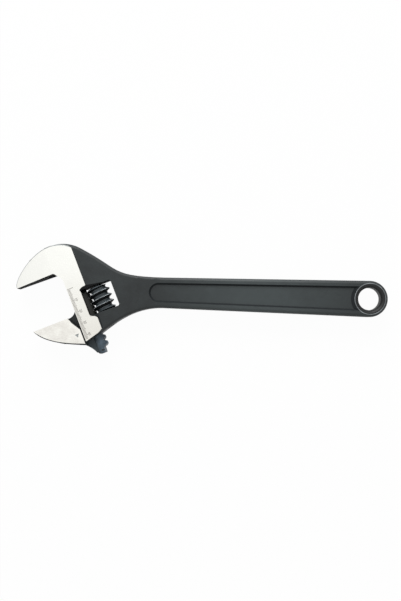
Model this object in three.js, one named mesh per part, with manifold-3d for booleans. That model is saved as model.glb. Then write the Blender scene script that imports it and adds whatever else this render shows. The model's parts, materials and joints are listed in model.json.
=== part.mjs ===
// Adjustable wrench: a forged body with a fixed jaw, a movable jaw on a toothed rail,
// the worm that drives it, the worm's pin and the spring that keeps the worm from rattling.
// Millimetres. Everything is drawn in the head's frame: the throat corner is the origin,
// +X runs from the mouth towards the handle, +Y points at the fixed jaw, +Z is the thickness.

import * as THREE from 'three';
import { mergeVertices } from 'three/addons/utils/BufferGeometryUtils.js';
import Module from 'manifold-3d';

const wasm = await Module();
wasm.setup();

// Head and handle
const headAngle = THREE.MathUtils.degToRad(22.5); // between the jaws' slide and the handle's width
const handleReach = 255.4; // from the throat corner to the hanging hole, along the handle
const throatRise = 14.25; // throat corner above the handle's centreline
const headThickness = 19;
const handleThickness = 12;
const handleEndRadius = 15;
const neckWidth = 25.2;
const neckReach = 84.6; // from the throat corner to where the neck runs straight
const edgeRoundWidth = 2.6; // forged edges, measured across the flat
const edgeRoundDepth = 3.5; // the same edges, measured down from the head's face
const taperEnd = 72; // where the head has come down to the handle's thickness
const taperSteps = 4;

// Head's outline: its turning points, and how far each curve reaches on from them
const crownReach = 1.5; // top of the fixed jaw, into the mouth
const crownHeight = 22.9;
const crownFrontPull = 17.3;
const crownBackPull = 5.5;
const shoulderReach = 22.3; // where the head's back is steepest, towards the handle
const shoulderHeight = 12.8;
const shoulderSlope = THREE.MathUtils.degToRad(48.6);
const shoulderUpPull = 12.5;
const shoulderDownPull = 37.7;
const noseBulge = 3.4; // fixed jaw's nose, past its tip
const noseHeight = 4.9;
const bellyReach = 15.5; // straight stretch of the head's lower edge, from its front corner
const bellyRise = 3;
const bellyPull = 13.8;
const bellyPullRise = 4.3;
const neckTopPull = 44.1;
const neckBottomPull = 21.8;

// Jaws
const opening = 37.9; // mouth as drawn, close to the largest
const jawReach = 38.3; // throat corner to the fixed jaw's tip
const throatReach = 5; // relief between the fixed jaw's face and the head's front face
const throatAngle = THREE.MathUtils.degToRad(53);
const throatRadius = 6; // where the relief runs into the front face
const frontHeight = 61.2; // throat corner to the head's lower front corner
const groundWidth = 15.7; // ground flat, from the mouth towards the handle
const jawTipThickness = 10;
const jawTaperStart = 6; // the ground flats start to thin this far into the mouth
const movableJawReach = 38.8;
const shoulderGap = 0.5; // movable jaw's shoulder to the head's front face
const scoopWidth = 7.3; // unground corner of the movable jaw, beside its web
const scoopHeight = 11.8;
const webFilletRadius = 7.7;
const webCornerCut = 4; // web's upper corner, cut to clear the end of its slot
const webTailDepth = 9.4; // the web's curved tail, below the heel
const webTailReach = 4.3;
const webTailBend = 4.5; // its steepening, below the heel
const webTailBendReach = 2.4;
const webTailEnd = 1.6; // where the tail meets the rail's end, before the rail's axis
const jawHeelDrop = 25.1; // jaw face to the heel, where the curved back meets the web
const jawHeelReach = 2.8; // heel to the head's front face
const jawTipPull = 11.4; // the curved back's reach down from the tip
const jawTipLean = 3.9;
const jawHeelPull = 11.8; // and its reach from the heel
const jawHeelRise = 4.8;
const jawEdgeHeight = 0.4; // the tip's edge, above the face before that is ground
const grindingStock = 4; // metal outside the finished edges, cut away

// Rail, its bore and the slot for the web
const railRadius = 5.5;
const railAxis = 10; // behind the head's front face
const railTop = 17.4; // above the movable jaw's face
const railBottom = -36.9;
const railTopChamfer = 3.2;
const railEndRound = 2.7;
const railEndRelief = 1.3; // the plain end past the teeth, below the rack's floor
const webThickness = 7;
const slideClearance = 0.25; // rail in its bore, on the radius
const webClearance = 0.2; // web in its slot, on each side
const boreEndGap = 0.8; // bore above the rail's end with the mouth shut
const slotCutterRadius = 24;

// Worm and rack
const wormLead = 5.2;
const wormRadius = 9.3;
const threadDepth = 2.65;
const threadCrest = 0.9; // width of the ridge at the crest
const flankAngle = THREE.MathUtils.degToRad(28);
const crestEdge = 0.25; // rounding of the crest's edges
const wormEndChamfer = 1.5;
const ridgeRoot = 0.8; // the ridge's foot, inside the worm's core
const crestClearance = 0.9; // worm crest to rack floor
const rootClearance = 0.95; // rack tooth to worm root
const flankClearance = 0.3; // between the flanks, on each side
const rackFirstGroove = 9.8; // above the movable jaw's face
const rackGrooves = 9;
const stepsPerTurn = 36;
const roundSides = 48;

// Window, pin and spring
const windowLeft = 10.2;
const windowTop = -19.9;
const windowHeight = 22.6;
const windowGap = 3.6; // worm to the window's handle-side wall
const windowCorner = 1.5;
const wormBearingGap = 0.3; // worm to the window's lower wall, where the spring presses it
const springGap = 1.7; // worm to the window's upper wall, bridged by the spring
const pinRadius = 2.5;
const pinClearance = 0.15;
const pinSeatDepth = 8; // blind hole above the window
const pinEndGap = 0.3;
const pinChamfer = 0.5;
const plugRadius = 3.8;
const plugLedge = 5; // wall left between the window and the plug
const plugLength = 6;
const plugSlotWidth = 1.2;
const plugSlotDepth = 1.6;
const springWireRadius = 0.5;
const springTurns = 3;
const springSteps = 60;
const springPocketRadius = 4.5;
const springPocketDepth = 4.2;
const springClearance = 0.25;

// Handle details
const hangingHoleRadius = 9.25;
const flareWidth = 3.3;
const flareDepth = 3.3;
const panelDepth = 1.6;
const panelDraft = 1.4;
const panelStartWidth = 16;
const panelEndWidth = 20.4;
const panelStart = 73; // from the throat corner, along the handle
const bossLand = 0.4; // between the hanging hole's flare and the edge of the boss round it
const bossDraft = 2.6;

// Worked out from the sizes above
const wormRoot = wormRadius - threadDepth;
const wormAxis = railAxis + railRadius + rootClearance + wormRoot;
const rackFloor = wormAxis - wormRadius - crestClearance;
const windowBottom = windowTop - windowHeight;
const windowRight = wormAxis + wormRadius + windowGap;
const wormLength = windowHeight - wormBearingGap - springGap;
const wormMiddle = windowBottom + wormBearingGap + wormLength / 2;
const boreRadius = railRadius + slideClearance;
const boreEnd = railTop + boreEndGap;
const groundHalf = headThickness / 2;
const throatTurn = Math.PI / 2 - throatAngle;
const throatFoot = throatReach * Math.tan(throatAngle) + throatRadius * Math.tan(throatTurn / 2);
const holeMouthRadius = hangingHoleRadius + flareWidth;
const beyond = 400; // longer than the wrench, for cuts that run right through

// ---- Solids ----------------------------------------------------------------------------

function solidOf(geometry) {
  const bare = geometry.clone();
  bare.deleteAttribute('normal');
  bare.deleteAttribute('uv');
  const merged = mergeVertices(bare, 1e-4);
  return new wasm.Manifold(new wasm.Mesh({
    numProp: 3,
    vertProperties: new Float32Array(merged.attributes.position.array),
    triVerts: new Uint32Array(merged.index.array),
  }));
}

function geometryOf(solid) {
  const mesh = solid.getMesh();
  const geometry = new THREE.BufferGeometry();
  geometry.setAttribute('position', new THREE.BufferAttribute(mesh.vertProperties, 3));
  geometry.setIndex(new THREE.BufferAttribute(mesh.triVerts, 1));
  return geometry;
}

function block(x0, x1, y0, y1, z0, z1) {
  const box = new THREE.BoxGeometry(x1 - x0, y1 - y0, z1 - z0);
  return solidOf(box.translate((x0 + x1) / 2, (y0 + y1) / 2, (z0 + z1) / 2));
}

// A round bar along Y.
function bar(radius, x, y0, y1, sides = 40) {
  const cylinder = new THREE.CylinderGeometry(radius, radius, y1 - y0, sides);
  return solidOf(cylinder.translate(x, (y0 + y1) / 2, 0));
}

// A flat outline, thickened evenly to both sides of the middle plane.
function plate(shape, halfThickness, curveSegments = 12) {
  const options = { depth: 2 * halfThickness, bevelEnabled: false, curveSegments };
  return solidOf(new THREE.ExtrudeGeometry(shape, options).translate(0, 0, -halfThickness));
}

function shapeOf(points) {
  return new THREE.Shape(points.map(([x, y]) => new THREE.Vector2(x, y)));
}

// ---- Handle frame: the hanging hole is its origin, and the handle runs along -X ---------

const handleFrame = new THREE.Matrix4()
  .makeRotationZ(headAngle)
  .setPosition(-handleReach, throatRise, 0)
  .invert();

function onHandle(x, y) {
  const point = new THREE.Vector3(x, y, 0).applyMatrix4(handleFrame);
  return new THREE.Vector2(point.x, point.y);
}

function curveTo(shape, first, second, end) {
  shape.bezierCurveTo(first.x, first.y, second.x, second.y, end.x, end.y);
}

// ---- Forgings --------------------------------------------------------------------------

// Half the forging's thickness at each station across the head. It keeps rising into the
// mouth, where the grinding wheel takes it down to the head's flats.
function forgedStations() {
  const drop = (headThickness - handleThickness) / 2;
  const span = taperEnd - groundWidth;
  const stations = [];
  for (let i = 0; i <= taperSteps; i += 1) {
    const t = i / taperSteps;
    const half = handleThickness / 2 + drop * (1 - t) ** 2;
    stations.push([groundWidth + t * span, half]);
  }
  const slope = (2 * drop) / span;
  stations.unshift([0, groundHalf + slope * groundWidth]);
  stations.unshift([-beyond, stations[0][1]]);
  stations.push([beyond, handleThickness / 2]);
  return stations;
}

// A forging with rounded edges, whose thickness follows the stations along X.
function forge(outline) {
  const roundDepth = edgeRoundDepth / groundHalf;
  const options = {
    depth: 2 * (1 - roundDepth),
    bevelThickness: roundDepth,
    bevelSize: edgeRoundWidth,
    bevelOffset: -edgeRoundWidth,
    bevelSegments: 3,
    curveSegments: 14,
  };
  const flat = new THREE.ExtrudeGeometry(outline, options).translate(0, 0, roundDepth - 1);
  const blank = solidOf(flat);
  const stations = forgedStations();
  const overlap = 0.02;
  let forging = null;
  for (let i = 0; i + 1 < stations.length; i += 1) {
    const [x0, half0] = stations[i];
    const [x1, half1] = stations[i + 1];
    const strip = blank.intersect(block(x0 - overlap, x1 + overlap, -beyond, beyond, -2, 2));
    if (!strip.isEmpty()) {
      const geometry = geometryOf(strip);
      const position = geometry.attributes.position;
      for (let v = 0; v < position.count; v += 1) {
        const t = (position.getX(v) - x0) / (x1 - x0);
        position.setZ(v, position.getZ(v) * THREE.MathUtils.lerp(half0, half1, t));
      }
      const piece = solidOf(geometry);
      forging = forging ? forging.add(piece) : piece;
    }
  }
  return forging;
}

// What the grinding leaves: parallel flats on the head that thin towards the jaw tips.
function groundSpace() {
  const tip = jawTipThickness / 2;
  const slope = (groundHalf - tip) / (movableJawReach - jawTaperStart);
  const far = groundHalf - slope * (beyond - jawTaperStart);
  const reach = far < 1 ? jawTaperStart + (groundHalf - 1) / slope : beyond;
  const low = groundHalf - slope * (reach - jawTaperStart);
  const side = shapeOf([
    [-reach, -low], [-jawTaperStart, -groundHalf], [beyond, -groundHalf],
    [beyond, groundHalf], [-jawTaperStart, groundHalf], [-reach, low],
  ]);
  const options = { depth: 2 * beyond, bevelEnabled: false };
  const prism = new THREE.ExtrudeGeometry(side, options).translate(0, 0, -beyond);
  return solidOf(prism.rotateX(Math.PI / 2));
}

// ---- Body ------------------------------------------------------------------------------

function bodyOutline() {
  const end = onHandle(0, 0);
  const crown = new THREE.Vector2(-crownReach, crownHeight);
  const shoulder = new THREE.Vector2(shoulderReach, shoulderHeight);
  const falling = new THREE.Vector2(Math.cos(shoulderSlope), -Math.sin(shoulderSlope));
  const aboveShoulder = shoulder.clone().addScaledVector(falling, -shoulderUpPull);
  const belowShoulder = shoulder.clone().addScaledVector(falling, shoulderDownPull);
  const aheadOfCrown = new THREE.Vector2(crown.x - crownFrontPull, crown.y);
  const behindCrown = new THREE.Vector2(crown.x + crownBackPull, crown.y);
  const start = onHandle(0, -handleEndRadius);
  const neckX = neckReach - handleReach;
  const half = neckWidth / 2;
  const neckTop = onHandle(neckX, half);
  const neckBottom = onHandle(neckX, -half);
  const shape = new THREE.Shape();
  shape.moveTo(start.x, start.y);
  shape.absarc(end.x, end.y, handleEndRadius, -Math.PI / 2 - headAngle, Math.PI / 2 - headAngle);
  shape.lineTo(neckTop.x, neckTop.y);
  curveTo(shape, onHandle(neckX - neckTopPull, half), belowShoulder, shoulder);
  curveTo(shape, aboveShoulder, behindCrown, crown);
  const tip = new THREE.Vector2(-jawReach, 0);
  curveTo(shape, aheadOfCrown, new THREE.Vector2(tip.x - noseBulge, noseHeight), tip);
  // The mouth is left part filled here, and cut out below.
  shape.lineTo(tip.x, -grindingStock);
  shape.lineTo(-grindingStock, -throatFoot - grindingStock);
  shape.lineTo(-grindingStock, -frontHeight - grindingStock * (bellyRise / bellyReach));
  shape.lineTo(0, -frontHeight);
  const belly = new THREE.Vector2(bellyReach, bellyRise - frontHeight);
  const behindBelly = new THREE.Vector2(belly.x + bellyPull, belly.y + bellyPullRise);
  shape.lineTo(belly.x, belly.y);
  curveTo(shape, behindBelly, onHandle(neckX - neckBottomPull, -half), neckBottom);
  shape.lineTo(start.x, start.y);
  return shape;
}

function mouth() {
  const shape = new THREE.Shape();
  shape.moveTo(-beyond, 0);
  shape.lineTo(-beyond, -beyond);
  shape.lineTo(0, -beyond);
  shape.lineTo(0, -throatFoot);
  shape.absarc(-throatRadius, -throatFoot, throatRadius, 0, throatTurn);
  shape.lineTo(-throatReach, 0);
  shape.lineTo(-beyond, 0);
  return plate(shape, beyond);
}

// Blind bore for the rail, open at the head's lower edge. Its end follows the rail's chamfer.
function railBore() {
  const profile = [
    [0, -beyond], [boreRadius, -beyond], [boreRadius, boreEnd - railTopChamfer],
    [boreRadius - railTopChamfer, boreEnd], [0, boreEnd],
  ].map(([x, y]) => new THREE.Vector2(x, y));
  return solidOf(new THREE.LatheGeometry(profile, 40).translate(railAxis, 0, 0));
}

// Slot for the web, as a disc cutter leaves it where it runs out in the throat.
function webSlot() {
  const shape = new THREE.Shape();
  const slotEnd = boreEnd - railTopChamfer;
  const middle = slotEnd - slotCutterRadius;
  shape.moveTo(railAxis, -beyond);
  shape.lineTo(railAxis, slotEnd);
  shape.absarc(railAxis, middle, slotCutterRadius, Math.PI / 2, Math.PI);
  shape.lineTo(railAxis - slotCutterRadius, -beyond);
  shape.lineTo(railAxis, -beyond);
  return plate(shape, webThickness / 2 + webClearance);
}

function wormWindow() {
  const r = windowCorner;
  const shape = new THREE.Shape();
  shape.absarc(windowRight - r, windowBottom + r, r, -Math.PI / 2, 0);
  shape.lineTo(windowRight, windowTop - r);
  shape.absarc(windowRight - r, windowTop - r, r, 0, Math.PI / 2);
  shape.lineTo(windowLeft + r, windowTop);
  shape.absarc(windowLeft + r, windowTop - r, r, Math.PI / 2, Math.PI);
  shape.lineTo(windowLeft, windowBottom + r);
  shape.absarc(windowLeft + r, windowBottom + r, r, Math.PI, 1.5 * Math.PI);
  return plate(shape, beyond, 4);
}

// Shallow panel between the neck and the hanging hole, for one face. The outline is that of
// its floor, and its walls lean outwards from there. A cone is left standing round the hole.
function handlePanel(side) {
  const face = handleThickness / 2;
  const left = panelStart - handleReach + panelDraft;
  const small = panelStartWidth / 2 - panelDraft;
  const large = panelEndWidth / 2 - panelDraft;
  const shape = new THREE.Shape();
  shape.moveTo(0, -large);
  shape.lineTo(0, large);
  shape.lineTo(left + small, small);
  shape.absarc(left + small, 0, small, Math.PI / 2, 1.5 * Math.PI);
  const options = {
    depth: panelDepth,
    bevelThickness: panelDepth,
    bevelSize: panelDraft,
    bevelSegments: 1,
    curveSegments: 12,
  };
  const outline = new THREE.ExtrudeGeometry(shape, options).translate(0, 0, face);
  const landRadius = holeMouthRadius + bossLand;
  const boss = new THREE.LatheGeometry([
    [0, face - 2 * panelDepth], [landRadius + 2 * bossDraft, face - 2 * panelDepth],
    [landRadius, face], [landRadius, face + beyond], [0, face + beyond],
  ].map(([x, y]) => new THREE.Vector2(x, y)), 40).rotateX(Math.PI / 2);
  const cutter = geometryOf(solidOf(outline).subtract(solidOf(boss)));
  if (side < 0) cutter.rotateX(Math.PI);
  return solidOf(cutter.applyMatrix4(handleFrame));
}

function hangingHole() {
  const face = handleThickness / 2;
  const flare = (turn) => new THREE.Vector2(
    holeMouthRadius - flareWidth * Math.cos(turn),
    face - flareDepth + flareDepth * Math.sin(turn),
  );
  const rim = [];
  const cuts = 4;
  for (let i = 0; i <= cuts; i += 1) {
    rim.push(flare((i / cuts) * (Math.PI / 2)));
  }
  rim.push(new THREE.Vector2(holeMouthRadius, 2 * face), new THREE.Vector2(0, 2 * face));
  const lower = rim.map((point) => new THREE.Vector2(point.x, -point.y)).reverse();
  const cutter = new THREE.LatheGeometry([...lower, ...rim], 40).rotateX(Math.PI / 2);
  return solidOf(cutter.applyMatrix4(handleFrame));
}

const plugShoulder = windowBottom - plugLedge;
const plugEnd = plugShoulder - plugLength;

function makeBody() {
  const pinHole = pinRadius + pinClearance;
  return forge(bodyOutline())
    .intersect(groundSpace())
    .subtract(mouth())
    .subtract(railBore())
    .subtract(webSlot())
    .subtract(wormWindow())
    .subtract(bar(pinHole, wormAxis, plugShoulder - 1, windowTop + pinSeatDepth, 24))
    .subtract(bar(plugRadius + pinClearance, wormAxis, -beyond, plugShoulder, 24))
    .subtract(handlePanel(1))
    .subtract(handlePanel(-1))
    .subtract(hangingHole());
}

// ---- Movable jaw, drawn with its face on Y = 0 -----------------------------------------

function jawOutline() {
  const tip = new THREE.Vector2(-movableJawReach, jawEdgeHeight);
  const heel = new THREE.Vector2(-jawHeelReach, -jawHeelDrop);
  const belowTip = new THREE.Vector2(tip.x + jawTipLean, tip.y - jawTipPull);
  const aheadOfHeel = new THREE.Vector2(heel.x - jawHeelPull, heel.y + jawHeelRise);
  const shape = new THREE.Shape();
  shape.moveTo(grindingStock, grindingStock);
  shape.lineTo(tip.x, grindingStock);
  shape.lineTo(tip.x, tip.y);
  curveTo(shape, belowTip, aheadOfHeel, heel);
  shape.lineTo(grindingStock, heel.y - jawHeelReach);
  shape.lineTo(grindingStock, grindingStock);
  return shape;
}

// Everything on the mouth's side of the face, the scoop and the shoulder.
function jawSide() {
  const shoulder = -shoulderGap;
  return plate(shapeOf([
    [-beyond, 0], [shoulder - scoopWidth, 0], [shoulder, -scoopHeight],
    [shoulder, -beyond], [-beyond, -beyond],
  ]), beyond);
}

// The web joins the jaw to the rail and slides in the head's slot.
function web() {
  const r = webFilletRadius;
  const top = railTop - railTopChamfer;
  const heel = new THREE.Vector2(-jawHeelReach, -jawHeelDrop);
  const tail = new THREE.Vector2(webTailReach, heel.y - webTailDepth);
  const shape = new THREE.Shape();
  shape.moveTo(railAxis, top);
  shape.lineTo(webCornerCut, top);
  shape.lineTo(0, top - webCornerCut);
  shape.lineTo(0, r);
  shape.absarc(-r, r, r, 0, -Math.PI / 2, true);
  shape.lineTo(-r - shoulderGap, -shoulderGap);
  shape.lineTo(-scoopWidth, heel.y + jawHeelRise);
  shape.lineTo(heel.x, heel.y);
  shape.quadraticCurveTo(webTailBendReach, heel.y - webTailBend, tail.x, tail.y);
  shape.lineTo(railAxis - webTailEnd, railBottom);
  shape.lineTo(railAxis, railBottom);
  shape.lineTo(railAxis, top);
  return plate(shape, webThickness / 2, 6);
}

function rail() {
  const round = railEndRound;
  const inset = round * (1 - Math.SQRT1_2); // halfway along the rounded edge
  const profile = [
    [0, railBottom],
    [railRadius - round, railBottom],
    [railRadius - inset, railBottom + inset],
    [railRadius, railBottom + round],
    [railRadius, railTop - railTopChamfer],
    [railRadius - railTopChamfer, railTop],
    [0, railTop],
  ].map(([x, y]) => new THREE.Vector2(x, y));
  return solidOf(new THREE.LatheGeometry(profile, 40).translate(railAxis, 0, 0));
}

// One groove across the rail, slanted to the worm's lead angle.
function rackGroove(height) {
  const open = wormAxis - rackFloor;
  const floorHalf = threadCrest / 2 + flankClearance - crestClearance * Math.tan(flankAngle);
  const openHalf = floorHalf + open * Math.tan(flankAngle);
  const section = shapeOf([
    [rackFloor, -floorHalf], [wormAxis, -openHalf], [wormAxis, openHalf], [rackFloor, floorHalf],
  ]);
  const width = 4 * railRadius;
  const cutter = new THREE.ExtrudeGeometry(section, { depth: width, bevelEnabled: false });
  const pitchRadius = wormRadius - threadDepth / 2;
  const leadAngle = Math.atan(wormLead / (2 * Math.PI * pitchRadius));
  cutter.translate(0, 0, -width / 2).rotateX(-leadAngle).translate(0, height, 0);
  return solidOf(cutter);
}

function makeMovableJaw() {
  let jaw = forge(jawOutline())
    .intersect(groundSpace())
    .intersect(jawSide())
    .add(web())
    .add(rail());
  for (let i = -1; i < rackGrooves; i += 1) {
    jaw = jaw.subtract(rackGroove(rackFirstGroove - i * wormLead));
  }
  // Past the last groove the rail is cut back below the rack's floor, clear of the worm.
  const lastGroove = rackFirstGroove - (rackGrooves - 1) * wormLead;
  const plain = rackFloor - railEndRelief;
  return jaw.subtract(block(plain, beyond, -beyond, lastGroove, -railRadius, railRadius));
}

// ---- Worm, pin and spring, drawn round the Y axis --------------------------------------

// Wraps a straight extrusion of a (radius, height) section round Y as a right-handed helix.
function helix(section, lead, turns, steps) {
  const straight = new THREE.ExtrudeGeometry(section, { depth: 1, steps, bevelEnabled: false });
  const position = straight.attributes.position;
  for (let v = 0; v < position.count; v += 1) {
    const radius = position.getX(v);
    const along = 0.5 - position.getZ(v);
    const turn = along * turns * 2 * Math.PI;
    const height = position.getY(v) + along * turns * lead;
    position.setXYZ(v, -radius * Math.cos(turn), height, radius * Math.sin(turn));
  }
  return solidOf(straight);
}

function makeWorm() {
  const slant = Math.tan(flankAngle);
  const inner = wormRoot - ridgeRoot;
  const innerHalf = threadCrest / 2 + (wormRadius - inner) * slant;
  const edgeHalf = threadCrest / 2 + crestEdge * slant;
  const topHalf = threadCrest / 2 - crestEdge / 2;
  const ridge = shapeOf([
    [inner, -innerHalf], [wormRadius - crestEdge, -edgeHalf], [wormRadius, -topHalf],
    [wormRadius, topHalf], [wormRadius - crestEdge, edgeHalf], [inner, innerHalf],
  ]);
  // A ridge faces the rail wherever the rack has a groove.
  const grooveHeight = rackFirstGroove - opening - wormMiddle;
  const phase = grooveHeight - Math.round(grooveHeight / wormLead) * wormLead;
  const turns = 2 * Math.ceil(wormLength / wormLead / 2) + 2;
  const thread = helix(ridge, wormLead, turns, turns * stepsPerTurn).translate(0, phase, 0);
  const end = wormLength / 2;
  const endRadius = wormRadius - wormEndChamfer;
  const outside = 2 * wormRadius - endRadius; // the chamfers run on past the crests
  const straight = end - outside + endRadius;
  const envelope = new THREE.LatheGeometry([
    [0, -end], [endRadius, -end], [outside, -straight], [outside, straight], [endRadius, end], [0, end],
  ].map(([x, y]) => new THREE.Vector2(x, y)), roundSides);
  return bar(wormRoot, 0, -end - 1, end + 1, roundSides)
    .add(thread)
    .intersect(solidOf(envelope))
    .subtract(bar(pinRadius + pinClearance, 0, -beyond, beyond, 24))
    .subtract(bar(springPocketRadius, 0, end - springPocketDepth, beyond, 24));
}

function makePin() {
  const shoulder = plugShoulder - pinClearance;
  const top = windowTop + pinSeatDepth - pinEndGap;
  const profile = [
    [0, plugEnd], [plugRadius - pinChamfer, plugEnd], [plugRadius, plugEnd + pinChamfer],
    [plugRadius, shoulder], [pinRadius, shoulder], [pinRadius, top - pinChamfer],
    [pinRadius - pinChamfer, top], [0, top],
  ].map(([x, y]) => new THREE.Vector2(x, y));
  const half = plugSlotWidth / 2;
  return solidOf(new THREE.LatheGeometry(profile, 24))
    .subtract(block(-beyond, beyond, -beyond, plugEnd + plugSlotDepth, -half, half));
}

function makeSpring() {
  const height = springPocketDepth + springGap - 2 * springClearance;
  const lead = (height - 2 * springWireRadius) / springTurns;
  const coilRadius = springPocketRadius - springClearance - springWireRadius;
  const wire = new THREE.Shape().absarc(coilRadius, 0, springWireRadius, 0, 2 * Math.PI);
  const section = shapeOf(wire.getPoints(4).slice(0, -1).map((point) => [point.x, point.y]));
  return helix(section, lead, springTurns, springSteps);
}

// ---- Assembly --------------------------------------------------------------------------

function finish(color, roughness, metalness) {
  return new THREE.MeshStandardMaterial({ color, roughness, metalness });
}

const forgedBlack = finish(0x414547, 0.5, 0.6);
const groundSteel = finish(0xd9dad6, 0.35, 0.9);
const blackedSteel = finish(0x2c3033, 0.4, 0.7);
const springSteel = finish(0x9a9c9e, 0.3, 0.9);

const assembly = new THREE.Group();
assembly.rotation.z = headAngle;

function place(name, solid, material, x, y) {
  const mesh = new THREE.Mesh(geometryOf(solid), material);
  mesh.name = name;
  mesh.position.set(x, y, 0);
  assembly.add(mesh);
}

place('body', makeBody(), forgedBlack, 0, 0);
place('movable_jaw', makeMovableJaw(), groundSteel, 0, -opening);
place('worm', makeWorm(), blackedSteel, wormAxis, wormMiddle);
place('worm_pin', makePin(), blackedSteel, wormAxis, 0);
const springMiddle = windowTop - (springPocketDepth + springGap) / 2;
place('worm_spring', makeSpring(), springSteel, wormAxis, springMiddle);

// The wrench lies on its ground flat, with the middle of its box at the origin.
const wrench = new THREE.Group();
wrench.add(assembly);
wrench.updateMatrixWorld(true);
const box = new THREE.Box3().setFromObject(wrench, true);
const middle = box.getCenter(new THREE.Vector3());
assembly.position.set(-middle.x, -middle.y, -box.min.z);

export default wrench;
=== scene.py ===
import bpy
import json
import math
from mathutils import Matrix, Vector


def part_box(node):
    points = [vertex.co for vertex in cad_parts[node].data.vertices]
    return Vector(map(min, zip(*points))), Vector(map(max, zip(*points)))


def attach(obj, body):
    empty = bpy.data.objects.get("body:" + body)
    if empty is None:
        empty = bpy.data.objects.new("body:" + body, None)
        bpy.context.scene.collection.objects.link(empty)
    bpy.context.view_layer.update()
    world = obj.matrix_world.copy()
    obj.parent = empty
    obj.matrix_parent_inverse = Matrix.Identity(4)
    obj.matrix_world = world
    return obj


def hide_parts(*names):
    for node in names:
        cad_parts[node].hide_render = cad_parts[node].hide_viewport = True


# Adjustable wrench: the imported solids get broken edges, their finishes and the engraved scale.
# Sizes in the dictionaries are millimetres, and the studio's are metres. Places on the head are
# given across it, from its front face towards the handle, and along the slide, from the fixed
# jaw's working face, so that the movable jaw and the rail lie below zero.

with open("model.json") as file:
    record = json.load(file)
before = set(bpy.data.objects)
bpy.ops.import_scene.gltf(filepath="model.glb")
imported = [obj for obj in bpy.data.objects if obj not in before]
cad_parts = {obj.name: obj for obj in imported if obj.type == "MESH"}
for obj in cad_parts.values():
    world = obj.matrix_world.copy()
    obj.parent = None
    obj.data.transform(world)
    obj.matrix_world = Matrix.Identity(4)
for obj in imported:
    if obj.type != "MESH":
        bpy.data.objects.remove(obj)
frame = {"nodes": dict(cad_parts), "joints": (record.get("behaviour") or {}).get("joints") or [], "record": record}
bpy.ops.object.select_all(action="DESELECT")
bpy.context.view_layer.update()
mm = 0.001

head = {
    "mountInset": 20,  # the fixed jaw's mount, out from the head's front face
    "groundWidth": 15.7,  # ground flats, from the front face towards the handle
    "thickness": 19,
    "opening": 37.9,  # mouth at rest
    "railAxis": 10,
    "boreRadius": 6.2,
    "slotHalf": 4,
    "windowLeft": 10.2,
    "windowRight": 36.2,
    "windowTop": -19.9,
    "windowBottom": -42.5,
}
# How faces are told apart: the part of their normal along Z, and how near a line they lie
told = {
    "flat": 0.985,
    "level": 0.9,
    "upright": 0.3,
    "near": 0.1,
    "nearGrinding": 0.05,
}
mounts = {mount["name"]: Vector(mount["pos_m"]) for mount in frame["record"]["mounts"]}
slide = Vector(frame["joints"][0]["axis"]).normalized()
across = Vector((slide.y, -slide.x, 0))
# The throat, where the head's front face meets the fixed jaw's working face, is the head's zero
throat = mounts["fixed_jaw_face"] + across * head["mountInset"] * mm
throat.z = 0
openings = {opening["name"]: opening["box_m"] for opening in frame["record"]["physics"]["openings"]}
hangingHole = sum((Vector(corner) for corner in openings["hanging_hole"]), Vector()) / 2
hangingHole.z = 0


# A place on the head in the frame's metres, and a point of the frame as a place on the head
def headPoint(x, y, height=0):
    return throat + across * x * mm + slide * y * mm + Vector((0, 0, height * mm))


def inHead(point):
    offset = Vector(point) - throat
    return offset.dot(across) / mm, offset.dot(slide) / mm


def choose(piece):
    bpy.ops.object.select_all(action="DESELECT")
    piece.select_set(True)
    bpy.context.view_layer.objects.active = piece


def editAll(piece):
    choose(piece)
    bpy.ops.object.mode_set(mode="EDIT")
    bpy.ops.mesh.select_all(action="SELECT")


# Leaves the piece in edit mode, with the wanted faces selected
def selectFaces(piece, wanted):
    choose(piece)
    bpy.ops.object.mode_set(mode="EDIT")
    bpy.ops.mesh.select_mode(type="FACE")
    bpy.ops.mesh.select_all(action="DESELECT")
    bpy.ops.object.mode_set(mode="OBJECT")
    for face in piece.data.polygons:
        face.select = wanted(face)
    bpy.ops.object.mode_set(mode="EDIT")


def applyModifier(piece, kind, **settings):
    choose(piece)
    modifier = piece.modifiers.new(kind.title(), kind)
    for name, value in settings.items():
        setattr(modifier, name, value)
    bpy.ops.object.modifier_apply(modifier=modifier.name)


# Points this near one another are one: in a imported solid, in a bevel's slivers and in a numeral
merged = {"packed": 0.01, "slivers": 0.003, "numerals": 0.001}


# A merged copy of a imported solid, which can be cut and bevelled
def copyOfNode(nodeName, pieceName):
    piece = bpy.data.objects.new(pieceName, frame["nodes"][nodeName].data.copy())
    piece.data.name = pieceName
    piece.data.materials.clear()
    bpy.context.scene.collection.objects.link(piece)
    choose(piece)
    bpy.ops.mesh.customdata_custom_splitnormals_clear()
    editAll(piece)
    bpy.ops.mesh.remove_doubles(threshold=merged["packed"] * mm)
    bpy.ops.object.mode_set(mode="OBJECT")
    return piece


# Triangles that lie in one plane and have one finish become one face, so that edges can be broken
def joinFlats(piece, degrees):
    editAll(piece)
    bpy.ops.mesh.dissolve_limited(angle_limit=math.radians(degrees), delimit={"MATERIAL"})
    bpy.ops.object.mode_set(mode="OBJECT")


bevels = {"segments": 2, "sharperThan": 32}  # degrees between the faces


def breakEdges(piece, width):
    applyModifier(piece, "BEVEL", width=width * mm, segments=bevels["segments"],
                  limit_method="ANGLE", angle_limit=math.radians(bevels["sharperThan"]),
                  use_clamp_overlap=True)


# Slivers left by the bevels go, and the shading is even up to the given angle between faces
def smooth(piece, degrees):
    editAll(piece)
    bpy.ops.mesh.dissolve_degenerate(threshold=merged["slivers"] * mm)
    bpy.ops.object.mode_set(mode="OBJECT")
    bpy.ops.object.shade_smooth_by_angle(angle=math.radians(degrees))
    applyModifier(piece, "WEIGHTED_NORMAL", mode="FACE_AREA", keep_sharp=True)


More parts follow.
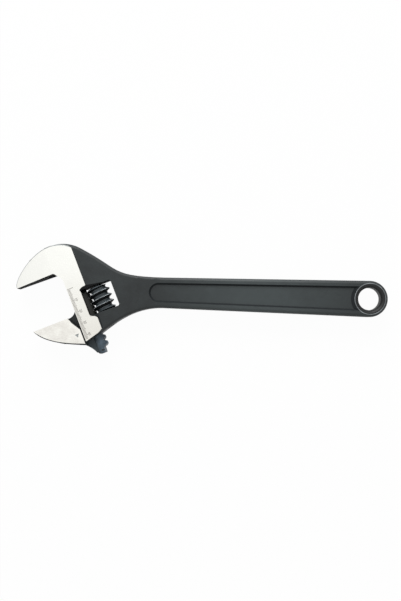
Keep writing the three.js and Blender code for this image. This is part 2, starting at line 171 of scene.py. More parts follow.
# An sRGB hex colour, linear as the shaders take it
def colour(code):
    parts = [int(code[i:i + 2], 16) / 255 for i in (1, 3, 5)]
    linear = [p / 12.92 if p <= 0.04045 else ((p + 0.055) / 1.055) ** 2.4 for p in parts]
    return (*linear, 1)


# Adds a node. Settings go by keyword. An input takes a value, a socket or a node's first output.
# A Mix of colours has its share at input 0, the colours at 6 and 7 and the result at output 2
def addNode(tree, kind, inputs=None, **settings):
    node = tree.nodes.new("ShaderNode" + kind)
    for name, value in settings.items():
        setattr(node, name, value)
    for key, value in (inputs or {}).items():
        if isinstance(value, bpy.types.Node):
            value = value.outputs[0]
        if isinstance(value, bpy.types.NodeSocket):
            tree.links.new(value, node.inputs[key])
        else:
            node.inputs[key].default_value = value
    return node


def emptyTree(owner):
    owner.use_nodes = True
    owner.node_tree.nodes.clear()
    return owner.node_tree


def newMaterial(name):
    material = bpy.data.materials.new(name)
    tree = emptyTree(material)
    return material, tree, addNode(tree, "TexCoord").outputs["Object"]


# A plain finish: two tones in patches of one size
def twoToned(name, finish):
    material, tree, place = newMaterial(name)
    patches = addNode(tree, "TexNoise", {"Vector": place, "Scale": 1000 / finish["patchSize"]})
    base = addNode(tree, "Mix", {0: patches, 6: colour(finish["dark"]), 7: colour(finish["light"])},
                   data_type="RGBA")
    shader = addNode(tree, "BsdfPrincipled", {"Base Color": base.outputs[2],
                                              "Metallic": finish["metallic"],
                                              "Roughness": finish["roughness"],
                                              "Specular IOR Level": finish["specular"]})
    addNode(tree, "OutputMaterial", {"Surface": shader})
    return material


# Drop-forged steel, shot-blasted and manganese-phosphated: an oily near-black, cloudy from the
# bath and softly dented by the die, grey where hands have rubbed it. Painted light on it: shade
# darkens its crevices and the hanging hole's flare, a highlight rings the hole's rim, and its
# convex edges are lighter, partly from wear and partly as a painted highlight
def blackForging():
    finish = {
        "dark": "#202425",
        "light": "#3f4647",
        "creviceShade": "#0b0c0d",
        "wearAndHighlight": "#6f7577",
        "flare": "#0b0d0e",
        "rim": "#a2a8ab",
        "gripPlace": (40, 10, 9.5),  # where the hand rubs the finish lighter
        "gripMiddle": 15,
        "gripReach": 85,
        "toneSize": 75,  # slow change along the forging
        "cloudSize": 9,
        "blastSize": 0.9,  # shot marks are 0.2 mm, drawn coarser so that they show
        "dentSize": 4.5,
        "creviceReach": 1.4,
        "edgeReach": 0.5,
        "rimRadius": 12.75,  # the hanging hole's rim, where a highlight is painted
        "rimWidth": 0.55,
        "trimHalf": 0.7,  # the flash was trimmed off along the middle of the edges
        "trimFade": 0.25,
    }
    material, tree, place = newMaterial("black_phosphated_forging")
    tone = addNode(tree, "TexNoise", {"Vector": place, "Scale": 1000 / finish["toneSize"],
                                      "Detail": 1})
    clouds = addNode(tree, "TexNoise", {"Vector": place, "Scale": 1000 / finish["cloudSize"],
                                        "Detail": 5, "Roughness": 0.6})
    blast = addNode(tree, "TexNoise", {"Vector": place, "Scale": 1000 / finish["blastSize"],
                                       "Detail": 3})
    dents = addNode(tree, "TexNoise", {"Vector": place, "Scale": 1000 / finish["dentSize"]})
    both = addNode(tree, "Math", {0: tone, 1: clouds}, operation="ADD")
    mottled = addNode(tree, "MapRange", {"Value": both, "From Min": 0.8, "From Max": 1.2,
                                         "To Max": 0.3})
    fromGrip = addNode(tree, "VectorMath", {0: place, 1: Vector(finish["gripPlace"]) * mm},
                       operation="DISTANCE")
    held = addNode(tree, "MapRange", {"Value": fromGrip.outputs["Value"],
                                      "From Min": finish["gripMiddle"] * mm,
                                      "From Max": finish["gripReach"] * mm,
                                      "To Min": 0.9, "To Max": 0})
    share = addNode(tree, "Math", {0: mottled, 1: held}, operation="ADD")
    skin = addNode(tree, "Mix", {0: share, 6: colour(finish["dark"]), 7: colour(finish["light"])},
                   data_type="RGBA")
    # Painted shade: crevices and the feet of walls, found by ambient occlusion, are darkened towards near-black
    hidden = addNode(tree, "AmbientOcclusion", {"Distance": finish["creviceReach"] * mm},
                     samples=8, only_local=True)
    deep = addNode(tree, "MapRange", {"Value": hidden.outputs["AO"], "From Min": 0.5,
                                      "From Max": 0.92, "To Min": 0.85, "To Max": 0})
    creviceShaded = addNode(tree, "Mix", {0: deep, 6: skin.outputs[2], 7: colour(finish["creviceShade"])},
                    data_type="RGBA")
    # Convex edges, found by ambient occlusion inside, turn patchily lighter grey: partly wear, partly a painted
    # highlight
    convex = addNode(tree, "AmbientOcclusion", {"Distance": finish["edgeReach"] * mm}, samples=8,
                   inside=True, only_local=True)
    edge = addNode(tree, "MapRange", {"Value": convex.outputs["AO"], "From Min": 0.8,
                                      "From Max": 0.5, "To Max": 0.3})
    patchy = addNode(tree, "MapRange", {"Value": blast, "From Min": 0.35, "From Max": 0.65})
    wearAndHighlight = addNode(tree, "Math", {0: edge, 1: patchy}, operation="MULTIPLY")
    wornAndHighlit = addNode(tree, "Mix", {0: wearAndHighlight, 6: creviceShaded.outputs[2], 7: colour(finish["wearAndHighlight"])},
                   data_type="RGBA")
    level = addNode(tree, "VectorMath", {0: place, 1: (1, 1, 0)}, operation="MULTIPLY")
    fromHole = addNode(tree, "VectorMath", {0: level, 1: hangingHole}, operation="DISTANCE")
    # Painted shade: the hanging hole's flare, inside the rim, is near-black
    inRim = finish["rimRadius"] - finish["rimWidth"] / 2
    inFlare = addNode(tree, "Math", {0: fromHole.outputs["Value"], 1: inRim * mm},
                      operation="LESS_THAN")
    flared = addNode(tree, "Mix", {0: inFlare, 6: wornAndHighlit.outputs[2], 7: colour(finish["flare"])},
                     data_type="RGBA")
    # A painted highlight: a lighter, streaky ring along the hanging hole's rim
    onRim = addNode(tree, "Math", {0: fromHole.outputs["Value"], 1: finish["rimRadius"] * mm,
                                   2: finish["rimWidth"] / 2 * mm}, operation="COMPARE")
    streaky = addNode(tree, "MapRange", {"Value": clouds, "From Min": 0.35, "From Max": 0.6,
                                         "To Min": 0.25})
    rim = addNode(tree, "Math", {0: onRim, 1: streaky}, operation="MULTIPLY")
    base = addNode(tree, "Mix", {0: rim, 6: flared.outputs[2], 7: colour(finish["rim"])},
                   data_type="RGBA")
    height = addNode(tree, "SeparateXYZ", {"Vector": place}).outputs["Z"]
    offMiddle = addNode(tree, "Math", {0: height, 1: head["thickness"] / 2 * mm},
                        operation="SUBTRACT")
    fromMiddle = addNode(tree, "Math", {0: offMiddle}, operation="ABSOLUTE")
    trim = addNode(tree, "MapRange", {"Value": fromMiddle, "From Min": finish["trimHalf"] * mm,
                                      "From Max": (finish["trimHalf"] + finish["trimFade"]) * mm,
                                      "To Min": 1, "To Max": 0})
    gloss = addNode(tree, "MapRange", {"Value": both, "From Min": 0.7, "From Max": 1.3,
                                       "To Min": 0.44, "To Max": 0.56})
    line = addNode(tree, "Bump", {"Height": trim, "Strength": 0.6, "Distance": 0.12 * mm})
    soft = addNode(tree, "Bump", {"Height": dents, "Strength": 0.2, "Distance": 0.5 * mm,
                                  "Normal": line})
    grain = addNode(tree, "Bump", {"Height": blast, "Strength": 0.35, "Distance": 0.1 * mm,
                                   "Normal": soft})
    shader = addNode(tree, "BsdfPrincipled", {"Base Color": base.outputs[2], "Roughness": gloss,
                                              "Specular IOR Level": 0.38, "Normal": grain})
    addNode(tree, "OutputMaterial", {"Surface": shader})
    return material


# Painted shade for the panel's walls and the dips below the window: a dry, dark black, flatter than the forging's
# skin
def sootyRecess():
    finish = {"dark": "#202325", "light": "#2b2f31", "patchSize": 3}
    material, tree, place = newMaterial("painted_shade_recess")
    patches = addNode(tree, "TexNoise", {"Vector": place, "Scale": 1000 / finish["patchSize"]})
    base = addNode(tree, "Mix", {0: patches, 6: colour(finish["dark"]), 7: colour(finish["light"])},
                   data_type="RGBA")
    grain = addNode(tree, "Bump", {"Height": patches, "Strength": 0.3, "Distance": 0.15 * mm})
    shader = addNode(tree, "BsdfPrincipled", {"Base Color": base.outputs[2], "Roughness": 0.8,
                                              "Specular IOR Level": 0.15, "Normal": grain})
    addNode(tree, "OutputMaterial", {"Surface": shader})
    return material


# Chrome-vanadium steel, ground flat and linished on a belt: pale and almost white, with fine
# lines along the wrench and a faint cloudiness. A film of oil tints it towards the movable jaw
brightTones = {
    "body": {"dark": "#e6e6e2", "light": "#f0f0eb", "film": "#f0eeeb"},
    "jaw": {"dark": "#dcd9d4", "light": "#f5f4ee", "film": "#fdfdfc"},
}


def groundSteel(name, tones):
    finish = {
        "lineWidth": 0.35,  # belt grit leaves 0.05 mm lines, drawn wider so that they show
        "lineLength": 14,
        "cloudSize": 7,
        "filmStart": 0,  # along the slide
        "filmFull": -60,
    }
    material, tree, place = newMaterial(name)
    stretch = (1000 / finish["lineLength"], 1000 / finish["lineWidth"], 1000 / finish["lineWidth"])
    drawn = addNode(tree, "Mapping", {"Vector": place, "Scale": stretch})
    lines = addNode(tree, "TexNoise", {"Vector": drawn, "Scale": 1, "Detail": 3})
    clouds = addNode(tree, "TexNoise", {"Vector": place, "Scale": 1000 / finish["cloudSize"],
                                        "Detail": 4})
    mottle = addNode(tree, "Math", {0: lines, 1: clouds}, operation="ADD")
    share = addNode(tree, "MapRange", {"Value": mottle, "From Min": 0.7, "From Max": 1.2})
    clean = addNode(tree, "Mix", {0: share, 6: colour(tones["dark"]), 7: colour(tones["light"])},
                    data_type="RGBA")
    along = addNode(tree, "VectorMath", {0: place, 1: slide}, operation="DOT_PRODUCT")
    zero = slide.dot(throat)
    film = addNode(tree, "MapRange", {"Value": along.outputs["Value"],
                                      "From Min": zero + finish["filmStart"] * mm,
                                      "From Max": zero + finish["filmFull"] * mm})
    base = addNode(tree, "Mix", {0: film, 6: clean.outputs[2], 7: colour(tones["film"])},
                   data_type="RGBA", blend_type="MULTIPLY")
    gloss = addNode(tree, "MapRange", {"Value": mottle, "From Min": 0.8, "From Max": 1.2,
                                       "To Min": 0.5, "To Max": 0.42})
    grain = addNode(tree, "Bump", {"Height": lines, "Strength": 0.12, "Distance": 0.03 * mm})
    shader = addNode(tree, "BsdfPrincipled", {"Base Color": base.outputs[2], "Metallic": 1,
                                              "Roughness": gloss, "Normal": grain})
    addNode(tree, "OutputMaterial", {"Surface": shader})
    return material


# Edge of the ground flats, drawn over by hand with a file: a dull grey line
def deburredSteel():
    return twoToned("deburred_steel_edge", {
        "dark": "#8b8f8f",
        "light": "#aaaeae",
        "patchSize": 0.6,  # as wide as the file's strokes
        "metallic": 0.5,
        "roughness": 0.6,
        "specular": 0.5,
    })


# Milled faces blackened with the forging: flatter and deader than its skin
def blackMachined():
    finish = {"dark": "#141515", "light": "#1f2021", "cutWidth": 0.4, "cutLength": 6}
    material, tree, place = newMaterial("blackened_milled_steel")
    stretch = (1000 / finish["cutLength"], 1000 / finish["cutWidth"], 1000 / finish["cutWidth"])
    drawn = addNode(tree, "Mapping", {"Vector": place, "Scale": stretch})
    cuts = addNode(tree, "TexNoise", {"Vector": drawn, "Scale": 1, "Detail": 2})
    base = addNode(tree, "Mix", {0: cuts, 6: colour(finish["dark"]), 7: colour(finish["light"])},
                   data_type="RGBA")
    grain = addNode(tree, "Bump", {"Height": cuts, "Strength": 0.2, "Distance": 0.04 * mm})
    shader = addNode(tree, "BsdfPrincipled", {"Base Color": base.outputs[2], "Roughness": 0.85,
                                              "Specular IOR Level": 0.1, "Normal": grain})
    addNode(tree, "OutputMaterial", {"Surface": shader})
    return material


# Rail and web: turned or milled, then blued. The end keeps a blue-grey bloom, and the stretch
# that slides in the bore and shows in the mouth is oily black, darkened further as painted shade
def bluedSteel():
    finish = {
        "dark": "#3d4850",
        "light": "#5a6874",
        "web": "#3a4246",
        "shadedBlack": "#1b1c19",
        "gapShade": "#101214",
        "patchSize": 5,
        "bloomStart": -10,  # along the slide, from the jaw's working face
        "bloomFull": -19,
        "webEnd": 6,  # across the head, where the web gives way to the rail
        "railStart": 8,
        "gapReach": 2,
    }
    material, tree, place = newMaterial("blued_steel")
    patches = addNode(tree, "TexNoise", {"Vector": place, "Scale": 1000 / finish["patchSize"],
                                         "Detail": 4})
    share = addNode(tree, "MapRange", {"Value": patches, "From Min": 0.35, "From Max": 0.65})
    bloom = addNode(tree, "Mix", {0: share, 6: colour(finish["dark"]), 7: colour(finish["light"])},
                    data_type="RGBA")
    sideways = addNode(tree, "VectorMath", {0: place, 1: across}, operation="DOT_PRODUCT")
    edge = across.dot(throat)
    onWeb = addNode(tree, "MapRange", {"Value": sideways.outputs["Value"],
                                       "From Min": edge + finish["railStart"] * mm,
                                       "From Max": edge + finish["webEnd"] * mm})
    end = addNode(tree, "Mix", {0: onWeb, 6: bloom.outputs[2], 7: colour(finish["web"])},
                  data_type="RGBA")
    # The stretch towards the fixed jaw is darkened: partly oil, partly painted shade where the bore and window
    # hide it
    along = addNode(tree, "VectorMath", {0: place, 1: slide}, operation="DOT_PRODUCT")
    face = slide.dot(headPoint(0, -head["opening"]))
    shadedBlack = addNode(tree, "MapRange", {"Value": along.outputs["Value"],
                                       "From Min": face + finish["bloomFull"] * mm,
                                       "From Max": face + finish["bloomStart"] * mm})
    tone = addNode(tree, "Mix", {0: shadedBlack, 6: end.outputs[2], 7: colour(finish["shadedBlack"])},
                   data_type="RGBA")
    # Painted shade: the gaps by the head and the web, found by ambient occlusion, darkened towards black
    hidden = addNode(tree, "AmbientOcclusion", {"Distance": finish["gapReach"] * mm}, samples=8,
                     only_local=True)
    deep = addNode(tree, "MapRange", {"Value": hidden.outputs["AO"], "From Min": 0.4,
                                      "From Max": 0.9, "To Min": 0.65, "To Max": 0})
    base = addNode(tree, "Mix", {0: deep, 6: tone.outputs[2], 7: colour(finish["gapShade"])},
                   data_type="RGBA")
    grain = addNode(tree, "Bump", {"Height": patches, "Strength": 0.15, "Distance": 0.12 * mm})
    shader = addNode(tree, "BsdfPrincipled", {"Base Color": base.outputs[2], "Roughness": 0.45,
                                              "Specular IOR Level": 0.3, "Normal": grain})
    addNode(tree, "OutputMaterial", {"Surface": shader})
    return material


# Worm and pin: turned steel with a black oxide, satin grey; the grooves are darkened as painted shade
def blackOxide():
    finish = {
        "dark": "#434a4e",
        "light": "#5c6468",
        "groove": "#060707",
        "turningWidth": 0.5,  # tool marks are 0.1 mm, drawn wider so that they show
        "grooveReach": 2.2,
    }
    material, tree, place = newMaterial("black_oxide_turned_steel")
    turning = addNode(tree, "TexNoise", {"Vector": place, "Scale": 1000 / finish["turningWidth"],
                                         "Detail": 2})
    tone = addNode(tree, "Mix", {0: turning, 6: colour(finish["dark"]), 7: colour(finish["light"])},
                   data_type="RGBA")
    # Painted shade: the thread's grooves, found by ambient occlusion, darkened towards black
    hidden = addNode(tree, "AmbientOcclusion", {"Distance": finish["grooveReach"] * mm}, samples=8,
                     only_local=True)
    deep = addNode(tree, "MapRange", {"Value": hidden.outputs["AO"], "From Min": 0.25,
                                      "From Max": 0.7, "To Min": 0.9, "To Max": 0})
    base = addNode(tree, "Mix", {0: deep, 6: tone.outputs[2], 7: colour(finish["groove"])},
                   data_type="RGBA")
    grain = addNode(tree, "Bump", {"Height": turning, "Strength": 0.15, "Distance": 0.03 * mm})
    shader = addNode(tree, "BsdfPrincipled", {"Base Color": base.outputs[2], "Roughness": 0.42,
                                              "Specular IOR Level": 0.35, "Normal": grain})
    addNode(tree, "OutputMaterial", {"Surface": shader})
    return material


# Painted shade: the worm's crests and the side of its thread that faces away from the fixed jaw are near-black
def oiledOxide():
    return twoToned("black_oxide_painted_shade", {
        "dark": "#08090a",
        "light": "#141618",
        "patchSize": 1.5,
        "metallic": 0,
        "roughness": 0.5,
        "specular": 0.12,
    })


# The thread's crest edge towards the fixed jaw: grey steel, partly wear and partly a painted highlight
def rubbedSteel():
    finish = {"dark": "#8d9599", "light": "#e2e7e9", "patchSize": 2.5}
    material, tree, place = newMaterial("worn_highlight_steel_edge")
    patches = addNode(tree, "TexNoise", {"Vector": place, "Scale": 1000 / finish["patchSize"]})
    share = addNode(tree, "MapRange", {"Value": patches, "From Min": 0.35, "From Max": 0.65})
    base = addNode(tree, "Mix", {0: share, 6: colour(finish["dark"]), 7: colour(finish["light"])},
                   data_type="RGBA")
    shader = addNode(tree, "BsdfPrincipled", {"Base Color": base.outputs[2], "Roughness": 0.35})
    addNode(tree, "OutputMaterial", {"Surface": shader})
    return material


# Spring: hard-drawn wire with a thin film of oil
def springWire():
    return twoToned("drawn_spring_wire", {
        "dark": "#77797a",
        "light": "#a9abac",
        "patchSize": 0.15,  # marks of the drawing die
        "metallic": 1,
        "roughness": 0.28,
        "specular": 0.5,
    })


# Scale and pointer: etched grooves, matt and warm grey
def etchedMark():
    return twoToned("etched_scale_mark", {
        "dark": "#7b756f",
        "light": "#98928b",
        "patchSize": 0.3,
        "metallic": 0,
        "roughness": 0.8,
        "specular": 0.2,
    })


finishes = {
    "forging": blackForging(),
    "shadedRecess": sootyRecess(),
    "ground": groundSteel("ground_bright_steel", brightTones["body"]),
    "linished": groundSteel("linished_bright_steel", brightTones["jaw"]),
    "deburred": deburredSteel(),
    "machined": blackMachined(),
    "blued": bluedSteel(),
    "oxide": blackOxide(),
    "shadedBlack": oiledOxide(),
    "wearAndHighlight": rubbedSteel(),
    "wire": springWire(),
    "etched": etchedMark(),
}
print("finishes:", len(finishes))


def giveFinishes(piece, names):
    for name in names:
        piece.data.materials.append(finishes[name])


def fromMiddle(point):
    return abs(point.z / mm - head["thickness"] / 2)


# On the head's ground flats
def isFlat(face):
    outside = fromMiddle(face.center) > head["slotHalf"]
    ground = inHead(face.center)[0] < head["groundWidth"] + told["nearGrinding"]
    return outside and ground and abs(face.normal.z) > told["flat"]


# Level and outside the slot, whether ground or forged
def isLevel(face):
    outside = fromMiddle(face.center) > head["slotHalf"]
    return outside and abs(face.normal.z) > told["level"]


# Engraved marks: solids that stand in the flat as deep as the engraving, joined into one cutter
scale = {
    "zero": -15.8,  # along the slide
    "marks": 43,  # one each millimetre
    "start": 0.45,
    "shortTick": 2.4,
    "fiveTick": 2.9,
    "tenTick": 3.3,
    "zeroLine": 5.2,
    "tickWidth": 0.37,
    "numberPlace": 4.75,
    "numberSize": 2.9,
    "depth": 0.12,
    "pointerPlace": (-5.0, -53.6),
    "pointerRadius": 2,
}


def tick(number):
    length = scale["shortTick"]
    if number % 5 == 0:
        length = scale["fiveTick"]
    if number % 10 == 0:
        length = scale["tenTick"]
    if number == 0:
        length = scale["zeroLine"]
    middle = headPoint(scale["start"] + length / 2, scale["zero"] - number, head["thickness"])
    size = Vector((length, scale["tickWidth"], 2 * scale["depth"])) * mm
    turn = math.atan2(across.y, across.x)
    bpy.ops.mesh.primitive_cube_add(size=1, location=middle, rotation=(0, 0, turn), scale=size)
    return bpy.context.object


def numeral(number):
    place = headPoint(scale["numberPlace"], scale["zero"] - number, head["thickness"])
    turn = math.atan2(-slide.y, -slide.x)
    bpy.ops.object.text_add(location=place, rotation=(0, 0, turn))
    text = bpy.context.object
    text.data.body = str(number)
    text.data.size = scale["numberSize"] * mm
    text.data.extrude = scale["depth"] * mm
    text.data.resolution_u = 3
    text.data.align_x = "CENTER"
    text.data.align_y = "CENTER"
    bpy.ops.object.convert(target="MESH")
    solid = bpy.context.object
    editAll(solid)
    bpy.ops.mesh.remove_doubles(threshold=merged["numerals"] * mm)
    bpy.ops.object.mode_set(mode="OBJECT")
    return solid


# A triangle that points along the slide
def pointer():
    place = headPoint(*scale["pointerPlace"], head["thickness"])
    turn = math.atan2(-slide.y, -slide.x)
    bpy.ops.mesh.primitive_cylinder_add(vertices=3, radius=scale["pointerRadius"] * mm,
                                        depth=2 * scale["depth"] * mm, location=place,
                                        rotation=(0, 0, turn - math.pi / 2))
    return bpy.context.object


# The cutter has the piece's own slots, so that the cut faces take the finish of the marks
def engrave(piece, marks, names, finish):
    choose(marks[0])
    for mark in marks:
        mark.select_set(True)
    if len(marks) > 1:
        bpy.ops.object.join()
    cutter = bpy.context.object
    bpy.ops.object.transform_apply(location=True, rotation=True, scale=True)
    giveFinishes(cutter, names)
    for face in cutter.data.polygons:
        face.material_index = names.index(finish)
    applyModifier(piece, "BOOLEAN", object=cutter, operation="DIFFERENCE", solver="EXACT")
    bpy.data.objects.remove(cutter, do_unlink=True)


# Where the forging dips beside the window the grinding misses it. The dips are not modelled, and
# the shade of their slopes is painted: black machined above the window, recess below. Corners go
# round to the left
dips = {
    "reach": 20,  # of the cuts over the forging, round each dip
    "threshold": 0.001,
    "above": [[(30, -19.9), (15.7, -17.45), (12.4, -18), (10.4, -18.9), (9.7, -19.6), (9.9, -21)]],
    "below": [
        [(10.1, -42.5), (14.1, -43.9), (17.3, -44.4), (17.3, -42.5)],
        [(14.1, -43.9), (15.7, -45.6), (17.3, -45.6), (17.3, -43.9)],
        [(15.7, -45.6), (15.7, -55.5), (17.1, -55), (17.3, -45.6)],
    ],
}


def sidesOf(corners):
    return list(zip(corners, corners[1:] + corners[:1]))


def isInside(corners, x, y):
    return all((end[0] - start[0]) * (y - start[1]) > (end[1] - start[1]) * (x - start[0])
               for start, end in sidesOf(corners))


def cutRound(piece, corners):
    for start, end in sidesOf(corners):
        def isNear(face):
            x, y = inHead(face.center)
            near = math.hypot(x - start[0], y - start[1]) < dips["reach"]
            return isFlat(face) or (isLevel(face) and near)

        first = headPoint(*start)
        sideways = (headPoint(*end) - first).cross(Vector((0, 0, 1))).normalized()
        selectFaces(piece, isNear)
        bpy.ops.mesh.bisect(plane_co=first, plane_no=sideways, threshold=dips["threshold"] * mm)
        bpy.ops.object.mode_set(mode="OBJECT")


def inDip(face, name):
    place = inHead(face.center)
    return isLevel(face) and any(isInside(corners, *place) for corners in dips[name])


# Edges of the ground flats are rounded where both ends are wanted, and take a finish there
def roundEdges(piece, width, finish, wanted):
    selectFaces(piece, isFlat)
    bpy.ops.mesh.region_to_loop()
    bpy.ops.object.mode_set(mode="OBJECT")
    for edge in piece.data.edges:
        ends = [inHead(piece.data.vertices[i].co) for i in edge.vertices]
        edge.select = edge.select and all(wanted(x, y) for x, y in ends)
    bpy.ops.object.mode_set(mode="EDIT")
    bpy.ops.mesh.bevel(offset=width * mm, segments=bevels["segments"], material=finish)
    bpy.ops.object.mode_set(mode="OBJECT")


# The mouth, the slot for the web, the rail's bore and the window are milled or drilled
def isMilled(face):
    x, y = inHead(face.center)
    height = fromMiddle(face.center)
    near = told["near"]
    level = abs(face.normal.z) > told["level"]
    upright = abs(face.normal.z) < told["upright"]
    inMouth = upright and x < near
    inSlot = height < head["slotHalf"] + near and x < head["railAxis"]
    inSlot = inSlot and (level or y > head["windowBottom"])
    inBore = math.hypot(x - head["railAxis"], height) < head["boreRadius"]
    inWindow = head["windowLeft"] - near < x < head["windowRight"]
    inWindow = inWindow and head["windowBottom"] - near < y < head["windowTop"] + near
    return ((inMouth or inSlot or inBore) and y < near) or (upright and inWindow)


handle = {
    "panelStart": -44.5,  # along the wrench's length
    "panelHalfWidth": 10.4,
    "panelDepth": 1.6,
    "thickness": 12,
    "rimRadius": 13,  # the panel's end wall stands round the hanging hole
    "wallLean": (0.5, 0.95),  # part of the walls' normals along Z
}


def isPanelWall(face):
    place = face.center - hangingHole
    outside = handle["thickness"] / 2
    least, most = handle["wallLean"]
    leans = least < abs(face.normal.z) < most
    sunk = outside - handle["panelDepth"] < fromMiddle(face.center) < outside
    inPanel = handle["panelStart"] * mm < face.center.x < hangingHole.x
    inPanel = inPanel and abs(place.y) < handle["panelHalfWidth"] * mm
    offRim = math.hypot(place.x, place.y) > handle["rimRadius"] * mm
    return leans and sunk and inPanel and offRim


def makeBody():
    edges = {
        "width": 0.3,
        "rimWidth": 0.5,
        "rimEnd": 14,  # across the head, towards the handle
        "rimStart": 1,  # along the slide
        "jawFaceWidth": 0.5,
        "jawFaceEnd": -4.9,  # across the head, where the throat's relief starts
        "joinedWithin": 0.4,  # degrees
        "smoothUnder": 40,
    }
    names = ("forging", "ground", "machined", "shadedRecess", "etched", "deburred")
    piece = copyOfNode("body", "forged_body")
    giveFinishes(piece, names)
    for corners in dips["above"] + dips["below"]:
        cutRound(piece, corners)
    for face in piece.data.polygons:
        # Milled faces take the black machined finish; the dip above the window takes it too, and the panel walls
        # and dips below take the recess finish, as painted shade
        if isMilled(face) or inDip(face, "above"):
            face.material_index = names.index("machined")
        elif isPanelWall(face) or inDip(face, "below"):
            face.material_index = names.index("shadedRecess")
        elif isFlat(face):
            face.material_index = names.index("ground")
    joinFlats(piece, edges["joinedWithin"])
    roundEdges(piece, edges["rimWidth"], names.index("deburred"),
               lambda x, y: x < edges["rimEnd"] and y > edges["rimStart"])
    roundEdges(piece, edges["jawFaceWidth"], names.index("machined"),
               lambda x, y: x < edges["jawFaceEnd"] and abs(y) < told["near"])
    breakEdges(piece, edges["width"])
    marks = [tick(number) for number in range(scale["marks"] + 1)]
    marks += [numeral(number) for number in range(10, scale["marks"] + 1, 10)]
    engrave(piece, marks, names, "etched")
    smooth(piece, edges["smoothUnder"])
    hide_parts("body")
    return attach(piece, "body")


# The rail's end shows in the window's upper corner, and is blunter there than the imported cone
def bluntRail(piece, end):
    choose(piece)
    bpy.ops.object.mode_set(mode="EDIT")
    bpy.ops.mesh.select_mode(type="VERT")
    bpy.ops.mesh.select_all(action="DESELECT")
    bpy.ops.object.mode_set(mode="OBJECT")
    for vertex in piece.data.vertices:
        vertex.select = inHead(vertex.co)[1] > end["top"] - told["near"]
    bpy.ops.object.mode_set(mode="EDIT")
    middle = headPoint(head["railAxis"], end["top"], head["thickness"] / 2)
    bpy.ops.transform.resize(value=(end["wider"],) * 3, center_override=middle)
    bpy.ops.object.mode_set(mode="OBJECT")


def makeJaw():
    edges = {
        "width": 0.3,
        "backWidth": 0.8,
        "backStart": -38.5,  # along the slide, behind the working face
        "jawEnd": -0.3,  # across the head
        "webStart": -0.4,
        "joinedWithin": 0.4,  # degrees
        "smoothUnder": 40,
    }
    railEnd = {"top": -20.5, "wider": 1.35}
    names = ("machined", "linished", "blued", "deburred", "forging")
    piece = copyOfNode("movable_jaw", "sliding_jaw")
    giveFinishes(piece, names)
    bluntRail(piece, railEnd)
    for face in piece.data.polygons:
        x, y = inHead(face.center)
        level = abs(face.normal.z) > told["level"]
        onWebSide = level and fromMiddle(face.center) < head["slotHalf"]
        if isFlat(face) and x < edges["jawEnd"]:
            face.material_index = names.index("linished")
        elif x < edges["jawEnd"] and y < edges["backStart"]:
            face.material_index = names.index("forging")
        elif x > edges["webStart"] or onWebSide:
            face.material_index = names.index("blued")
    joinFlats(piece, edges["joinedWithin"])
    roundEdges(piece, edges["backWidth"], names.index("forging"),
               lambda x, y: y < edges["backStart"])
    breakEdges(piece, edges["width"])
    engrave(piece, [pointer()], names, "deburred")
    smooth(piece, edges["smoothUnder"])
    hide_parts("movable_jaw")
    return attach(piece, "jaw")


# The worm, its pin and its spring
turned = {
    "joinedWithin": 0.2,  # degrees
    "smoothUnder": 34,
    "pinEdge": 0.15,
}


def makeWorm():
    thread = {
        "edgeWidth": 0.25,
        "crestDepth": 0.7,  # how far in from the crest the painted highlight and painted shade reach
        "leastLean": 0.2,  # part of a flank's normal along the slide
        "mostLean": 0.95,  # over it the face is the worm's end
    }
    names = ("oxide", "shadedBlack", "wearAndHighlight")
    low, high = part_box("worm")
    axis = inHead((Vector(low) + Vector(high)) / 2)[0]
    radius = (high[2] - low[2]) / 2 / mm
    piece = copyOfNode("worm", "worm_screw")
    giveFinishes(piece, names)
    joinFlats(piece, turned["joinedWithin"])
    breakEdges(piece, thread["edgeWidth"])
    for face in piece.data.polygons:
        # Crest faces towards the fixed jaw take the painted highlight; crests and faces away from it take the
        # painted shade
        lean = face.normal.dot(slide)
        away = math.hypot(inHead(face.center)[0] - axis, fromMiddle(face.center))
        atCrest = away > radius - thread["crestDepth"]
        if atCrest and thread["leastLean"] < lean < thread["mostLean"]:
            face.material_index = names.index("wearAndHighlight")
        elif lean < -thread["leastLean"] or (atCrest and lean < thread["leastLean"]):
            face.material_index = names.index("shadedBlack")
    smooth(piece, turned["smoothUnder"])
    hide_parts("worm")
    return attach(piece, "worm")


def makeTurned(nodeName, pieceName, finishName, body, edgeWidth=0):
    piece = copyOfNode(nodeName, pieceName)
    giveFinishes(piece, (finishName,))
    joinFlats(piece, turned["joinedWithin"])
    if edgeWidth:
        breakEdges(piece, edgeWidth)
    smooth(piece, turned["smoothUnder"])
    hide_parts(nodeName)
    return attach(piece, body)


makeBody()
makeJaw()
makeWorm()
makeTurned("worm_pin", "worm_pin_screw", "oxide", "body", turned["pinEdge"])
makeTurned("worm_spring", "worm_spring_coil", "wire", "body")
print("pieces made")

studio = {
    "floorSize": 6,
    "floor": "#fbfbfa",
    "floorShare": 0.97,  # how much of the floor's own white the camera sees, over its shadows
    "roomLight": 0.42,
    "lampPower": 26,  # watts
    "lampSize": (1.3, 0.8),
    "lampPlace": (-0.25, 1.5, 0.95),
}


# 1 where the camera or a reflection looks, 0 where the light itself is gathered
def seenDirectly(tree):
    path = addNode(tree, "LightPath").outputs
    seen = addNode(tree, "Math", {0: path["Is Camera Ray"], 1: path["Is Glossy Ray"]},
                   operation="MAXIMUM")
    return addNode(tree, "Math", {0: seen, 1: path["Is Transmission Ray"]}, operation="MAXIMUM")


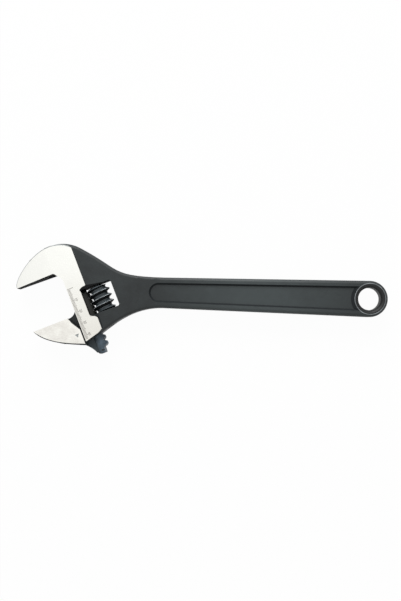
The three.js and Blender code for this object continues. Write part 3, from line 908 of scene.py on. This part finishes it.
def makeFloor():
    bpy.ops.mesh.primitive_plane_add(size=studio["floorSize"], location=(0, 0, 0))
    floor = bpy.context.object
    floor.name = "floor"
    material = bpy.data.materials.new("studio_floor")
    tree = emptyTree(material)
    share = addNode(tree, "Math", {0: seenDirectly(tree), 1: studio["floorShare"]},
                    operation="MULTIPLY")
    paint = addNode(tree, "BsdfDiffuse", {"Color": colour(studio["floor"])})
    white = addNode(tree, "Emission", {"Color": (1, 1, 1, 1), "Strength": 1})
    both = addNode(tree, "MixShader", {0: share, 1: paint, 2: white})
    addNode(tree, "OutputMaterial", {"Surface": both})
    floor.data.materials.append(material)


def makeLight():
    world = bpy.data.worlds.new("studio")
    bpy.context.scene.world = world
    tree = emptyTree(world)
    strength = addNode(tree, "MapRange", {"Value": seenDirectly(tree),
                                          "To Min": studio["roomLight"], "To Max": 1})
    room = addNode(tree, "Background", {"Color": (1, 1, 1, 1), "Strength": strength})
    addNode(tree, "OutputWorld", {"Surface": room})
    bpy.ops.object.light_add(type="AREA", location=studio["lampPlace"])
    lamp = bpy.context.object
    lamp.name = "softbox"
    lamp.data.shape = "RECTANGLE"
    lamp.data.size, lamp.data.size_y = studio["lampSize"]
    lamp.data.energy = studio["lampPower"]
    lamp.rotation_euler = (-Vector(studio["lampPlace"])).to_track_quat("-Z", "Y").to_euler()


def makeCamera():
    view = {
        "place": (-0.72, -16.12, 537.5),  # straight above the wrench, looking down
        "turn": 1.72,  # degrees about the vertical
        "lens": 38,
        "shift": 0.036,
    }
    camera = bpy.data.objects.new("camera", bpy.data.cameras.new("camera"))
    bpy.context.scene.collection.objects.link(camera)
    camera.location = Vector(view["place"]) * mm
    camera.rotation_euler = (0, 0, math.radians(view["turn"]))
    camera.data.lens = view["lens"]
    camera.data.sensor_width = 36
    camera.data.shift_y = view["shift"]
    camera.data.clip_start = 0.01
    bpy.context.scene.camera = camera


makeFloor()
makeLight()
makeCamera()
bpy.context.scene.view_settings.view_transform = "Standard"
print("floor, light and camera made")
